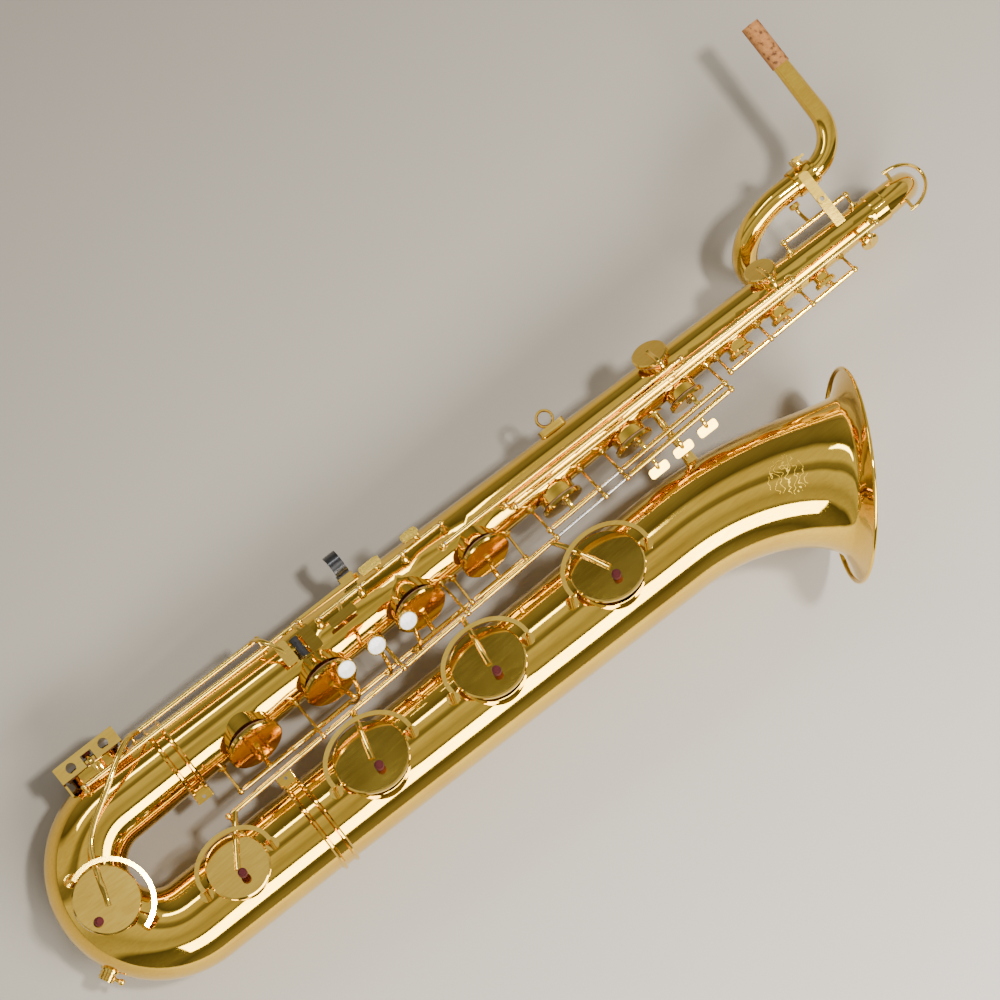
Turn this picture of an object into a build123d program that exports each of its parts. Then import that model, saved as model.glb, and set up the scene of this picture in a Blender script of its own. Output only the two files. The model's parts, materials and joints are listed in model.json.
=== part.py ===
from build123d import *
import json
import math
import os

os.makedirs("parts", exist_ok=True)

# ---- driving dimensions, millimetres. Instrument frame: body axis along X, bow at -X,
# ---- bell on the -Y side, +Z away from the floor. Everything is placed on the floor at the end.
BELL_OFFSET = 120.5      # body axis to bell axis
BODY_X0, BODY_X1 = -357.0, 428.0
BODY_R0, BODY_R1 = 32.2, 14.5
WALL = 1.0
BOW_X = -423.5
BOW_R_END = 41.5         # bow radius where the bell starts
BELL_X0, BELL_X1 = -293.0, 100.0
BELL_R1 = 48.5           # bell radius where it starts to curve
FLARE_BEND_R = 280.0
FLARE_DEG = 32.7
FLARE_END = 10.4
RIM_R, RIM_WIRE = 93.5, 1.9
TOP_DROP = 86.0          # top bow: body axis down to the return leg
LEG_R = 12.2
PIG_X, PIG_Y = 366.0, 61.0
REC_X = 384.0            # end of the pigtail, start of the receiver collar
NECK_R0, NECK_R1 = 9.6, 8.0
NECK_BEND, NECK_X = 38.0, 441.0
NECK_Y_END = 197.0
CORK_R, CORK_LEN = 8.9, 45.0
ROD_R, BORE_R, TUBE_R = 1.4, 1.45, 2.3
GAP = 0.3                # running gap between separate bodies
PAD_T, CUP_WALL, CUP_TOP = 4.0, 0.9, 1.2
HOLE_UP = 5.0            # chimney rim above the tube
BALL_R, STEM_R = 3.0, 1.35
PEARL_R = 8.0

X, Y, Z = Vector(1, 0, 0), Vector(0, 1, 0), Vector(0, 0, 1)
NODES, MOVES, FACTS = {}, {}, {}


def sd(a):
    return math.sin(math.radians(a))


def cd(a):
    return math.cos(math.radians(a))


def unit(v):
    return v * (1.0 / v.length)


def out(a):
    """Radial direction, a degrees from +Z towards the bell side (-Y)."""
    return Vector(0, -sd(a), cd(a))


def cyl(p, q, r, r2=None):
    d = q - p
    pl = Plane(origin=p, z_dir=d)
    if r2 is None:
        return Solid.make_cylinder(r, d.length, pl)
    return Solid.make_cone(r, r2, d.length, pl)


def ball(p, r):
    return Solid.make_sphere(r, Plane(origin=p), angle1=-90, angle2=90, angle3=360)


def turned(pts, origin, axis, xd=None):
    """Solid of revolution: pts are (radius, height) pairs."""
    pl = Plane(origin=origin, x_dir=xd, z_dir=axis) if xd is not None else Plane(origin=origin, z_dir=axis)
    prof = Polyline(*[Vector(r, 0, h) for r, h in pts], close=True)
    face = Face(Wire(prof.edges()))
    return Solid.revolve(face, 360, Axis.Z).moved(pl.location)


def block(c, xd, zd, dx, dy, dz, rnd=0.0):
    pl = Plane(origin=c - zd * (dz / 2), x_dir=xd, z_dir=zd)
    sk = RectangleRounded(dx, dy, rnd) if rnd else Rectangle(dx, dy)
    return extrude(pl * sk, amount=dz).solids()[0]


def wire_bar(pts, a, b=None, xd=X):
    """Bar of elliptical section (half-widths a, b) along a smooth line through the points."""
    path = Spline(*pts) if len(pts) > 2 else Line(*pts)
    t = path % 0
    side = xd - t * xd.dot(t)
    pl = Plane(origin=path @ 0, x_dir=side, z_dir=t)
    sec = pl * (Ellipse(a, b) if b else Circle(a))
    return sweep(sec, path=path).solids()[0]


def loft_circles(frames, dr=0.0):
    """frames: (origin, direction, x direction, radius)."""
    ws = [Wire.make_circle(r + dr, Plane(origin=o, x_dir=xd, z_dir=d)) for o, d, xd, r in frames]
    return Solid.make_loft(ws, True)


def best(shape):
    s = shape.solids() if hasattr(shape, "solids") else [shape]
    return max(s, key=lambda q: q.volume)


def cut(a, *tools):
    r = a.cut(*tools)
    return best(r)


def fuse(a, *more):
    return best(a.fuse(*more))


def add(node, *solids):
    NODES.setdefault(node, []).extend(solids)


def r_body(x):
    return BODY_R0 + (x - BODY_X0) * (BODY_R1 - BODY_R0) / (BODY_X1 - BODY_X0)


def r_bell(x):
    if x < BELL_X0:
        return BOW_R_END
    return BOW_R_END + (BELL_R1 - BOW_R_END) * ((x - BELL_X0) / (BELL_X1 - BELL_X0)) ** 1.1


# ---- filled outsides of the tubes, used for trimming feet and chimneys
BODY_FILL = cyl(Vector(BODY_X0, 0, 0), Vector(BODY_X1, 0, 0), BODY_R0, BODY_R1)
BEND = BELL_OFFSET / 2
BOW_C = Vector(BOW_X, -BEND, 0)


def bow_frames():
    fr = [(Vector(BODY_X0, 0, 0), -X, Z, BODY_R0), (Vector((BODY_X0 + BOW_X) / 2, 0, 0), -X, Z, BODY_R0 + 0.9)]
    n = 14
    for i in range(n + 1):
        a = 180.0 * i / n
        o = BOW_C + Vector(-BEND * sd(a), BEND * cd(a), 0)
        fr.append((o, Vector(-cd(a), -sd(a), 0), Z, BODY_R0 + 1.8 + (BOW_R_END - BODY_R0 - 2.6) * i / n))
    fr.append((Vector((BELL_X0 + BOW_X) / 2, -BELL_OFFSET, 0), X, Z, BOW_R_END - 0.4))
    fr.append((Vector(BELL_X0, -BELL_OFFSET, 0), X, Z, BOW_R_END))
    return fr


def bell_frames():
    fr = []
    for i in range(5):
        x = BELL_X0 + (BELL_X1 - BELL_X0) * i / 4
        fr.append((Vector(x, -BELL_OFFSET, 0), X, Z, r_bell(x)))
    k = BELL_R1 - 48.5
    for a, r in ((6, 49.6), (12, 51.4), (17, 53.6), (22, 56.6), (26, 60.0), (29.5, 64.2), (FLARE_DEG, 70.5)):
        o = Vector(BELL_X1 + FLARE_BEND_R * sd(a), -BELL_OFFSET - FLARE_BEND_R * (1 - cd(a)), 0)
        fr.append((o, Vector(cd(a), -sd(a), 0), Z, r + k))
    o, d = fr[-1][0], fr[-1][1]
    for s, r in ((0.36, 75.4), (0.66, 81.6), (0.87, 88.0), (1.0, RIM_R - k)):
        fr.append((o + d * (FLARE_END * s), d, Z, r + k))
    return fr


BOW_FR, BELL_FR = bow_frames(), bell_frames()
BOW_FILL, BELL_FILL = loft_circles(BOW_FR), loft_circles(BELL_FR)
RIM_C, RIM_D = BELL_FR[-1][0], BELL_FR[-1][1]
TOP_C = Vector(BODY_X1, 0, -TOP_DROP / 2)


def top_frames():
    fr, n = [], 8
    for i in range(n + 1):
        a = 180.0 * i / n
        o = TOP_C + Vector(TOP_DROP / 2 * sd(a), 0, TOP_DROP / 2 * cd(a))
        fr.append((o, Vector(cd(a), 0, -sd(a)), Y, BODY_R1 + (LEG_R - BODY_R1) * i / n))
    return fr


PIG_A, PIG_B = Vector(PIG_X, 0, -TOP_DROP), Vector(PIG_X, PIG_Y, 0)
PIG_N = unit((PIG_B - PIG_A).cross(X))
PIG_RAD = (PIG_B - PIG_A).length / 2
R_REC = 11.0


def pig_frames():
    fr = [(Vector(BODY_X1, 0, -TOP_DROP), -X, PIG_N, LEG_R)]
    mid, up, n = (PIG_A + PIG_B) * 0.5, unit(PIG_B - PIG_A), 8
    fr.append((Vector((BODY_X1 + PIG_X) / 2, 0, -TOP_DROP), -X, PIG_N, LEG_R - 0.1))
    for i in range(n + 1):
        a = 180.0 * i / n
        o = mid - up * (PIG_RAD * cd(a)) - X * (PIG_RAD * sd(a))
        fr.append((o, -X * cd(a) + up * sd(a), PIG_N, LEG_R - 0.2 + (R_REC - LEG_R + 0.3) * i / n))
    fr.append((Vector(REC_X, PIG_Y, 0), X, PIG_N, R_REC))
    return fr


TOP_FR, PIG_FR = top_frames(), pig_frames()
TOP_FILL, PIG_FILL = loft_circles(TOP_FR), loft_circles(PIG_FR)

# ---- tone holes: name -> tube, axis point, outward direction, tube radius there, chimney radius
HOLES = {}


def hole(name, base, ax, n, rt, rc):
    HOLES[name] = dict(base=base, ax=ax, n=unit(n), rt=rt, rc=rc, d0=rt + HOLE_UP)


LOW_TILT = -19.0
for nm, x in (("low_a", 31.0), ("low_bb", -100.0), ("low_b", -227.4)):
    hole(nm, "bell", Vector(x, -BELL_OFFSET, 0), out(LOW_TILT), r_bell(x), 30.5)
hole("low_cs", "bow", Vector(-372.5, -BELL_OFFSET, 0), out(LOW_TILT), BOW_R_END - 0.3, 25.0)
hole("low_c", "bow", BOW_C - X * BEND, Vector(sd(11), 0, cd(11)), BODY_R0 + 5.3, 26.5)
hole("low_eb", "bow", Vector(-414.0, 0, 0), out(-95), BODY_R0 + 1.6, 24.5)
for nm, x, rc in (("rh_d", -296.5, 22.5), ("rh_e", -213.5, 22.5), ("rh_f", -114.0, 22.0), ("rh_fs", -41.0, 20.0)):
    hole(nm, "body", Vector(x, 0, 0), out(50), r_body(x), rc)
for nm, x, rc in (("lh_g", 44.0, 17.5), ("lh_a", 126.0, 16.5), ("lh_b", 187.0, 15.0)):
    hole(nm, "body", Vector(x, 0, 0), out(82), r_body(x), rc)
for nm, x, rc in (("side_bb", 182.0, 13.5), ("side_c", 306.0, 12.0)):
    hole(nm, "body", Vector(x, 0, 0), out(-50), r_body(x), rc)
hole("high_e", "body", Vector(402.0, 0, 0), out(60), r_body(402.0), 6.0)
for nm, x, rc in (("upper_1", 252.0, 10.5), ("upper_2", 300.0, 9.0), ("upper_3", 350.0, 7.5)):
    hole(nm, "body", Vector(x, 0, 0), out(85), r_body(x), rc)


def with_holes(shell, fill, base):
    rings, bores = [], []
    for h in HOLES.values():
        if h["base"] != base:
            continue
        p0 = h["ax"] + h["n"] * (h["rt"] * 0.35)
        p1 = h["ax"] + h["n"] * h["d0"]
        rings.append(cut(cyl(p0, p1, h["rc"]), fill))
        bores.append(cyl(p0, p1 + h["n"] * 2, h["rc"] - WALL))
    return cut(fuse(shell, *rings), *bores)


def tube_shell(frames):
    """Hollow tube sewn from its outer skin, inner skin and two end rings."""
    skins = [f for s in (loft_circles(frames), loft_circles(frames, -WALL)) for f in s.faces() if f.geom_type != GeomType.PLANE]
    for o, d, xd, r in (frames[0], frames[-1]):
        pl = Plane(origin=o, x_dir=xd, z_dir=d)
        skins.append(Face(Wire.make_circle(r, pl), [Wire.make_circle(r - WALL, pl)]))
    return Solid(Shell(skins))


body_in = cyl(Vector(BODY_X0 - 0.01, 0, 0), Vector(BODY_X1 + 0.01, 0, 0), BODY_R0 - WALL, BODY_R1 - WALL)
add("body_tube", with_holes(cut(BODY_FILL, body_in), BODY_FILL, "body"))
add("bow", with_holes(tube_shell(BOW_FR), BOW_FILL, "bow"))
rim = Solid.make_torus(RIM_R + RIM_WIRE * 0.6, RIM_WIRE, Plane(origin=RIM_C, z_dir=RIM_D))
add("bell", fuse(with_holes(tube_shell(BELL_FR), BELL_FILL, "bell"), rim))
add("top_bow", tube_shell(TOP_FR))
pig = tube_shell(PIG_FR)
rec0, rec1 = Vector(REC_X - 3, PIG_Y, 0), Vector(REC_X + 18, PIG_Y, 0)
TENON_R = NECK_R0 - 0.2
collar = turned([(TENON_R + 0.05, 3), (R_REC + 0.9, 3), (R_REC + 0.9, 2), (R_REC + 1.9, 1), (R_REC + 1.9, 19.5),
                 (R_REC + 1.2, 20.5), (TENON_R + 0.05, 20.5)], rec0, X)
add("pigtail", fuse(pig, collar))

# ---- clamps and ferrules
FILLS = {"body": BODY_FILL, "bow": BOW_FILL, "bell": BELL_FILL, "top": TOP_FILL, "pig": PIG_FILL}


def clamp(x, y, r, lug_dir, wide=6.2):
    prof = [(r, -wide - 2.2), (r + 1.6, -wide - 2.2), (r + 3.4, -wide - 0.8), (r + 3.4, -wide + 0.8), (r + 1.6, -wide + 2.2),
            (r + 1.1, -wide + 2.2), (r + 1.1, wide - 2.2), (r + 1.6, wide - 2.2), (r + 3.4, wide - 0.8), (r + 3.4, wide + 0.8),
            (r + 1.6, wide + 2.2), (r, wide + 2.2)]
    c = Vector(x, y, 0)
    band = turned(prof, c, X)
    lug = block(c + lug_dir * (r + 5.5), X, lug_dir, wide * 2 + 4, 7, 11, 1.2)
    lug = cut(lug, cyl(c - X * 30, c + X * 30, r + 0.5))
    hole_ = cyl(c + lug_dir * (r + 7.5) - Z * 20, c + lug_dir * (r + 7.5) + Z * 20, 1.6)
    return cut(fuse(band, lug), hole_)


def ferrule(o, d, r, w=7.0, t=1.4):
    return turned([(r, -w), (r + t * 0.6, -w), (r + t, -w + 1.2), (r + t, w - 1.2), (r + t * 0.6, w), (r, w)], o, d)


CONE_SLACK = 0.06
joint = clamp(BODY_X0, 0, r_body(BODY_X0) + 0.9, -Y)
joint = cut(joint, BODY_FILL, BOW_FILL)
joint2 = cut(clamp(BELL_X0, -BELL_OFFSET, r_bell(BELL_X0) + 0.1, Y), BOW_FILL, BELL_FILL)
fer = [cut(ferrule(Vector(BODY_X1, 0, 0), X, BODY_R1 - 0.3), BODY_FILL, TOP_FILL),
       cut(ferrule(Vector(BODY_X1, 0, -TOP_DROP), X, LEG_R - 0.2), TOP_FILL, PIG_FILL)]
add("joint_clamps", joint, joint2, *fer)

# ---- bell brace, top brace, strap ring, thumb hook, end-pin holder, end guard
bx = 157.5
brace = fuse(cyl(Vector(bx, 0, -5), Vector(bx, -BELL_OFFSET, -5), 3.4),
             cyl(Vector(bx, -r_body(bx) - 1.6, -5), Vector(bx, 0, -5), 8.0),
             cyl(Vector(bx, -46, -5), Vector(bx, -50, -5), 6.5),
             cyl(Vector(bx, -62, -5), Vector(bx, -BELL_OFFSET, -5), 5.2, 9.0))
add("braces", cut(brace, BODY_FILL, BELL_FILL))
pz = R_REC + 1.9
tb = block(Vector(391.5, 34, pz - 1.2), X, Z, 10, 62, 2.6, 3.0)
tb = fuse(tb, cyl(Vector(391.5, 8, pz - 0.5), Vector(391.5, 8, 5), 4.5), cyl(Vector(391.5, 36, pz), Vector(391.5, 36, pz + 1.4), 4.6))
tb = cut(tb, BODY_FILL, cyl(rec0 - X * 3, rec1 + X * 3, R_REC + 1.95), cyl(Vector(391.5, 36, pz - 9), Vector(391.5, 36, pz + 9), 2.2))
add("braces", tb)
RING_R, RING_T = 6.0, 2.6
ring_c = Vector(77, r_body(77) + 12.0, 0)
ring = turned([(RING_R, -1.2), (RING_R + 0.9, -RING_T * 0.8), (RING_R + 1.7, -RING_T * 0.8), (RING_R + RING_T, -0.8), (RING_R + RING_T, 0.8),
               (RING_R + 1.7, RING_T * 0.8), (RING_R + 0.9, RING_T * 0.8), (RING_R, 1.2)], ring_c, Z)
foot = block(Vector(77, r_body(77) + 0.5, 0), X, Y, 26, 12, 9, 3.0)
foot = fuse(foot, cyl(Vector(77, 10, 0), Vector(77, ring_c.Y - RING_R - 0.8, 0), 3.2))
add("strap_ring", cut(fuse(ring, cut(foot, cyl(ring_c - Z * 20, ring_c + Z * 20, RING_R + 0.4))), BODY_FILL))
hx = -146.0
hr = r_body(hx)
plate = cut(block(Vector(-172, hr + 0.6, 0), X, Y, 74, 12, 4.4, 3.0), BODY_FILL)
plate = fuse(plate, block(Vector(hx, hr + 4.4, 0), X, Y, 14, 10, 5.0, 1.0))
add("braces", plate)
hy = hr + 6.9
hook_c = Vector(hx, hy + 11.5, 0)
hook = cyl(hook_c - X * 6, hook_c + X * 6, 11.5).cut(cyl(hook_c - X * 7, hook_c + X * 7, 9.0)).solids()[0]
hook = cut(hook, block(hook_c + Vector(0, 1.5, -8), X, Z, 20, 30, 16))
pad_blk = block(Vector(hx, hy + 1.6, -1.0), X, Y, 12, 13, 3.2, 1.0)
add("thumb_hook", fuse(hook, cut(pad_blk, cyl(hook_c - X * 7, hook_c + X * 7, 9.0))))
pd = unit(Vector(-0.88, -0.475, 0))
pr = BEND + BODY_R0 + 5.5
holder = turned([(4.6, -6), (8.5, -6), (8.5, 1.5), (6.8, 1.5), (6.8, 3), (7.4, 3.4), (7.4, 5), (6.8, 5.4), (6.8, 6.4), (7.4, 6.8), (7.4, 8.4),
                 (6.8, 8.8), (6.8, 10), (4.6, 10)], BOW_C + pd * pr, pd, Z)
knob_at = BOW_C + pd * (pr + 6) - pd.cross(Z) * 7.0
knob = fuse(cyl(knob_at, knob_at - pd.cross(Z) * 5.0, 1.7), ball(knob_at - pd.cross(Z) * 6.0, 3.0))
add("peg_holder", cut(fuse(holder, cut(knob, cyl(BOW_C, BOW_C + pd * 150, 6.9))), BOW_FILL))
gp = [Vector(452, 20.5, 2), Vector(470, 17, 0), Vector(487.5, 0, -20), Vector(470, -17, 0), Vector(452, -20.5, 2)]
tg = cut(wire_bar(gp, 1.7, xd=Z), TOP_FILL)
gl = [cut(cyl(Vector(455, s * 8, 0), Vector(455, s * 20.4, 1.6), 1.6), TOP_FILL, tg) for s in (1, -1)]
add("braces", tg, *gl)


# ---- hinge lines
class Line3:
    def __init__(self, x0, p0, slope):
        self.x0, self.p0, self.s = x0, p0, slope
        self.d = unit(Vector(1, slope[0], slope[1]))

    def at(self, x):
        k = x - self.x0
        return Vector(x, self.p0[0] + self.s[0] * k, self.p0[1] + self.s[1] * k)


H1 = Line3(-335, (-65.5, 33.0), (0.0355, 0.0))
H2 = Line3(-300, (-56.0, 3.0), (0.018, 0.0))
H3 = Line3(100, (H1.at(100).Y * 0.84, 33.0 * 0.84), (0.0355 * 0.84, 0.0))
H5 = Line3(225, (-34.0, 20.0), (0.022, -0.012))
HC = Line3(-385, (38.5, 14.0), (-0.008, 0.0))
HE = Line3(-385, (28.5, 28.5), (-0.008, 0.0))
HS = Line3(-190, (18.5, 34.5), (0.0, -0.018))
HB = Line3(-40, (2.5, 34.2), (0.0, -0.0215))
HD = Line3(-40, (-3.7, 34.2), (0.0, -0.0215))
HF = Line3(-40, (-9.9, 33.2), (0.0, -0.0215))
HO = Line3(345, (26.0, 8.0), (0.0, 0.0))


def post(line, x, base="body", twin=None):
    p = line.at(x)
    axis = Vector(x, 0, 0) if base == "body" else Vector(x, -BELL_OFFSET, 0)
    r = r_body(x) if base == "body" else r_bell(x)
    if base == "leg":
        axis, r = Vector(x, PIG_Y, 0), R_REC
    d = unit(p - axis)
    length = (p - axis).length
    balls = [length]
    holes = [cyl(line.at(x - 6), line.at(x + 6), ROD_R)]
    if twin:
        balls.insert(0, (twin.at(x) - axis).length)
        holes.append(cyl(twin.at(x - 6), twin.at(x + 6), ROD_R))
    k = math.sqrt(BALL_R ** 2 - STEM_R ** 2)
    pts = [(0, r - 3), (4.6, r - 3), (4.6, r + 1), (3.2, r + 1), (STEM_R, r + 3.4)]
    edges = [Line(Vector(a[0], 0, a[1]), Vector(b[0], 0, b[1])) for a, b in zip(pts, pts[1:])]
    at = r + 3.4
    for hb in balls:
        edges.append(Line(Vector(STEM_R, 0, at), Vector(STEM_R, 0, hb - k)))
        last = hb is balls[-1]
        end_ = Vector(0, 0, hb + BALL_R) if last else Vector(STEM_R, 0, hb + k)
        mid_ = Vector(BALL_R * cd(20), 0, hb + BALL_R * sd(20)) if last else Vector(BALL_R, 0, hb)
        edges.append(ThreePointArc(Vector(STEM_R, 0, hb - k), mid_, end_))
        at = hb + k
    edges.append(Line(Vector(0, 0, length + BALL_R), Vector(0, 0, r - 3)))
    prof = Face(Wire([e.edge() for e in edges]))
    s = Solid.revolve(prof, 360, Axis.Z).moved(Plane(origin=axis, z_dir=d).location)
    fill = {"body": BODY_FILL, "bell": BELL_FILL, "bow": BOW_FILL, "leg": PIG_FILL}[base if x > BODY_X0 or base != "body" else "bow"]
    if base == "bell" and x < BELL_X0:
        fill = BOW_FILL
    add("posts", cut(s, fill, *holes))


def rods(line, x0, x1):
    add("hinge_rods", cyl(line.at(x0), line.at(x1), ROD_R))


def tube(line, x0, x1):
    p, q = line.at(x0), line.at(x1)
    return cut(cyl(p, q, TUBE_R), cyl(p - line.d, q + line.d, BORE_R))


END = BALL_R + GAP
# posts and rods for every line
for x in (-247.0, -157.0, -85.0):
    post(H1, x)
for x in (16.0, 72.0, 97.0, 217.0):
    post(H1, x, twin=H3)
post(H1, -352.0, "bell")
rods(H1, -354.5, 219.5)
rods(H3, 13.5, 219.5)
for x in (-330.0, -156.0, -73.0, -12.0):
    post(H2, x)
rods(H2, -332.5, -9.5)
for x in (229.0, 276.0, 325.0, 374.0):
    post(H5, x)
rods(H5, 226.5, 376.5)
for x in (-375.0, -240.0):
    post(HC, x)
rods(HC, -377.5, -237.5)
for x in (-432.0, -203.0):
    post(HE, x)
rods(HE, -434.5, -200.5)
for x in (-190.0, -145.0, -98.0, -55.0):
    post(HS, x)
rods(HS, -192.5, -52.5)
post(HB, -66.0)
post(HB, 200.0)
rods(HB, -68.5, 202.5)
post(HD, -2.0)
post(HD, 322.0)
rods(HD, -4.5, 324.5)
post(HF, 4.0)
post(HF, 414.0)
rods(HF, 1.5, 416.5)
post(HO, 341.0)
post(HO, 412.0)
rods(HO, 338.5, 414.5)


# ---- key parts
def rim_plane(h):
    return h["ax"] + h["n"] * h["d0"]


def cup_profile(r, g=GAP):
    top = g + PAD_T + CUP_TOP
    return [(0, g + PAD_T), (r - CUP_WALL, g + PAD_T), (r - CUP_WALL, g + 1.4), (r, g + 1.4), (r, top - 1.0), (r - 1.2, top), (0, top)]


def cup_and_pad(h, r, xd=X):
    c, n = rim_plane(h), h["n"]
    xd = Y if abs(n.dot(xd)) > 0.01 else xd
    return turned(cup_profile(r), c, n, xd), cyl(c + n * GAP, c + n * (GAP + PAD_T), r - CUP_WALL)


TOPZ = GAP + PAD_T + CUP_TOP


def arm(h, r, line, xa, a=2.3, b=1.7, lift=0.7, reach=0.1, over=2.5):
    """From the middle of the cup over its edge down to the hinge tube at xa."""
    n = h["n"]
    top = rim_plane(h) + n * (TOPZ + lift)
    q = line.at(xa)
    e = q - top
    e = unit(e - n * e.dot(n))
    pts = [top - e * (r * reach), top + e * (r * 0.45), top + e * (r + 0.5) + n * (-0.2), q]
    dist = (q - top).dot(e) - r
    if dist > 9:
        pts = [pts[0], pts[1], top + e * (r + over), q]
    bar = wire_bar(pts, a, b, xd=line.d)
    c = rim_plane(h)
    return cut(bar, cyl(line.at(xa - 25), line.at(xa + 25), TUBE_R), cyl(c - n * 2, c + n * TOPZ, r))


def small_key(name, line, span, rcup, xa, open_deg, press, **kw):
    """Key whose cup closes on its own flat seat."""
    hh = HOLES[name]
    n = hh["n"]
    seat = turned([(0, GAP), (rcup - 1.0, GAP), (rcup, GAP + 1.4), (rcup, TOPZ - 1.0), (rcup - 1.2, TOPZ), (0, TOPZ)], rim_plane(hh), n, X)
    key(name, line, span, [tube(line, *span), seat, arm(hh, rcup, line, xa, **kw)], open_deg, press)


def key(name, line, span, parts, open_deg, press, pad=None, parent="frame", stiff=0.03):
    """parts: touching solids of one key; open_deg turns the closed key to its rest pose."""
    if open_deg:
        ax = Axis(line.at(span[0]), line.d)
        parts = [p.rotate(ax, open_deg) for p in parts]
        pad = pad.rotate(ax, open_deg) if pad else None
    add("key_" + name, *parts)
    if pad:
        add("pad_" + name, pad)
    MOVES[name] = dict(p=line.at(sum(span) / 2), d=line.d, lo=min(0, press), hi=max(0, press), stiff=stiff)


def simple_key(name, line, span, rcup, xa, open_deg, press, extra=(), **kw):
    h = HOLES[name]
    c, p = cup_and_pad(h, rcup)
    key(name, line, span, [tube(line, *span), c, arm(h, rcup, line, xa, **kw), *extra], open_deg, press, p)


def touch(line, xa, centre, n, dx, dy, thick=1.6, rnd=3.0, a=2.0, bulge=None):
    """Flat finger plate with its short lever from the tube."""
    pl = block(centre, X, n, dx, dy, thick, rnd)
    q = line.at(xa)
    mid = bulge if bulge is not None else (q + centre) * 0.5 + n * 2.0
    end = centre - n * (thick / 2)
    lever = wire_bar([q, mid, end - n * 0.4], a, 1.5)
    tub = cyl(line.at(xa - 40), line.at(xa + 40), TUBE_R)
    return [pl, cut(lever, tub, pl)]


# low keys on the bell: A, Bb and B stand open, C sharp is closed
OPEN_LOW = 9.0
lw = (("low_a", (-81.7, 68.7), 33.5, 44.0, 1), ("low_bb", (-153.7, -88.3), 33.5, -91.5, 1),
      ("low_b", (-243.7, -160.3), 33.5, -214.0, 1), ("low_cs", (-348.7, -250.3), 28.0, -345.0, 0))
for nm, span, rc, xa, is_open in lw:
    if nm == "low_a":
        span = (-81.7, 12.7)
        xa = 9.5
    simple_key(nm, H1, span, rc, xa, -OPEN_LOW * is_open, OPEN_LOW - 0.3 if is_open else -7.0, a=2.6, b=1.9)

# low C on the bow, low Eb on the back, both with finger plates for the right little finger
h = HOLES["low_c"]
c_r, cn = 29.5, HOLES["low_c"]["n"]
c_cup, c_pad = cup_and_pad(h, c_r, Y)
ct = rim_plane(h) + cn * (TOPZ + 0.7)
c_arm = wire_bar([ct + Vector(-2, -5, 0), ct + Vector(5, 15, -0.6), ct + Vector(17, 44, -3.5), Vector(-420, 12, 45), Vector(-387, 33, 38), HC.at(-368)],
                 2.6, 1.9, xd=X)
c_arm = cut(c_arm, cyl(HC.at(-400), HC.at(-350), TUBE_R), cyl(rim_plane(h), rim_plane(h) + cn * TOPZ, c_r))
plate_z = 43.0
tn = unit(Vector(0, 0.18, 1))
c_touch = touch(HC, -247.0, Vector(-229.5, 9.5, plate_z), tn, 11.5, 23, a=2.2, bulge=Vector(-240, 33, 37))
key("low_c", HC, (-371.7, -243.3), [tube(HC, -371.7, -243.3), c_cup, c_arm, *c_touch], -5.0, 4.7, c_pad)
h = HOLES["low_eb"]
e_cup, e_pad = cup_and_pad(h, 27.0)
e_arm = arm(h, 27.0, HE, -414.0)
e_c = Vector(-205.0, 9.5, plate_z)
e_touch = touch(HE, -209.0, e_c, tn, 11.5, 23, a=2.2)
roll_c = Vector(-217.2, 9.5, plate_z - 1.0)
roll_d = tn.cross(X)
rl, rr = 9.5, 4.2
for sg in (-1, 1):
    e_touch.append(cut(block(roll_c + roll_d * (sg * (rl + 1.2)) + X * 3.2 - tn * 0.4, X, tn, 9.0, 1.8, 3.4), e_touch[0],
                       cyl(roll_c - roll_d * 14, roll_c + roll_d * 14, 1.0)))
e_touch.append(cyl(roll_c - roll_d * (rl + 2.1), roll_c + roll_d * (rl + 2.1), 1.0))
add("roller_low_eb", cut(cyl(roll_c - roll_d * rl, roll_c + roll_d * rl, rr), cyl(roll_c - roll_d * 14, roll_c + roll_d * 14, 1.05)))
key("low_eb", HE, (-428.7, -206.3), [tube(HE, -428.7, -206.3), e_cup, e_arm, *e_touch], 0, 6.0, e_pad)
MOVES["roller_spin"] = dict(p=roll_c, d=roll_d, lo=-180.0, hi=180.0, stiff=0.0, parent="low_eb")

# right-hand stack, standing open, with pearl buttons
OPEN_RH = 6.0


def pearl_arm(line, xa, c, n):
    q = line.at(xa)
    holder = turned([(0, -2.2), (PEARL_R + 0.9, -2.2), (PEARL_R + 0.9, 0.9), (PEARL_R, 0.9), (PEARL_R, -1.2), (0, -1.2)], c, n)
    bar = wire_bar([q, Vector((xa + c.X) / 2, q.Y - 0.5, 22), Vector(c.X, c.Y - 15, c.Z - 9), c - n * 2.0], 2.0, 1.5)
    pearl = turned([(0, -1.2), (PEARL_R, -1.2), (PEARL_R, 0.6), (PEARL_R - 0.8, 1.2), (0, 1.7)], c, n)
    solid_holder = turned([(0, -2.2), (PEARL_R + 0.9, -2.2), (PEARL_R + 0.9, 2.0), (0, 2.0)], c, n)
    return [holder, cut(bar, cyl(line.at(xa - 30), line.at(xa + 30), TUBE_R), solid_holder)], pearl


pn = unit(Vector(0, -0.42, 0.9))
rh = (("rh_d", (-326.7, -207.3), 26.0, -297.0, (-198.5, -210.5)), ("rh_e", (-206.7, -159.3), 25.5, -203.5, (-166.0, -170.0)),
      ("rh_f", (-152.7, -76.3), 25.0, -114.0, (-132.0, -140.0)), ("rh_fs", (-69.7, -15.3), 23.5, -41.0, None))
for nm, span, rc, xa, pearl_at in rh:
    h = HOLES[nm]
    c, p = cup_and_pad(h, rc)
    parts = [tube(H2, *span), c, arm(h, rc, H2, xa)]
    if pearl_at:
        more, pearl = pearl_arm(H2, pearl_at[1], Vector(pearl_at[0], -24.0, 55.0), pn)
        parts += more
        add("pearl_" + nm, pearl.rotate(Axis(H2.at(span[0]), H2.d), OPEN_RH))
    key(nm, H2, span, parts, OPEN_RH, -(OPEN_RH - 0.3), p)

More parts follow.
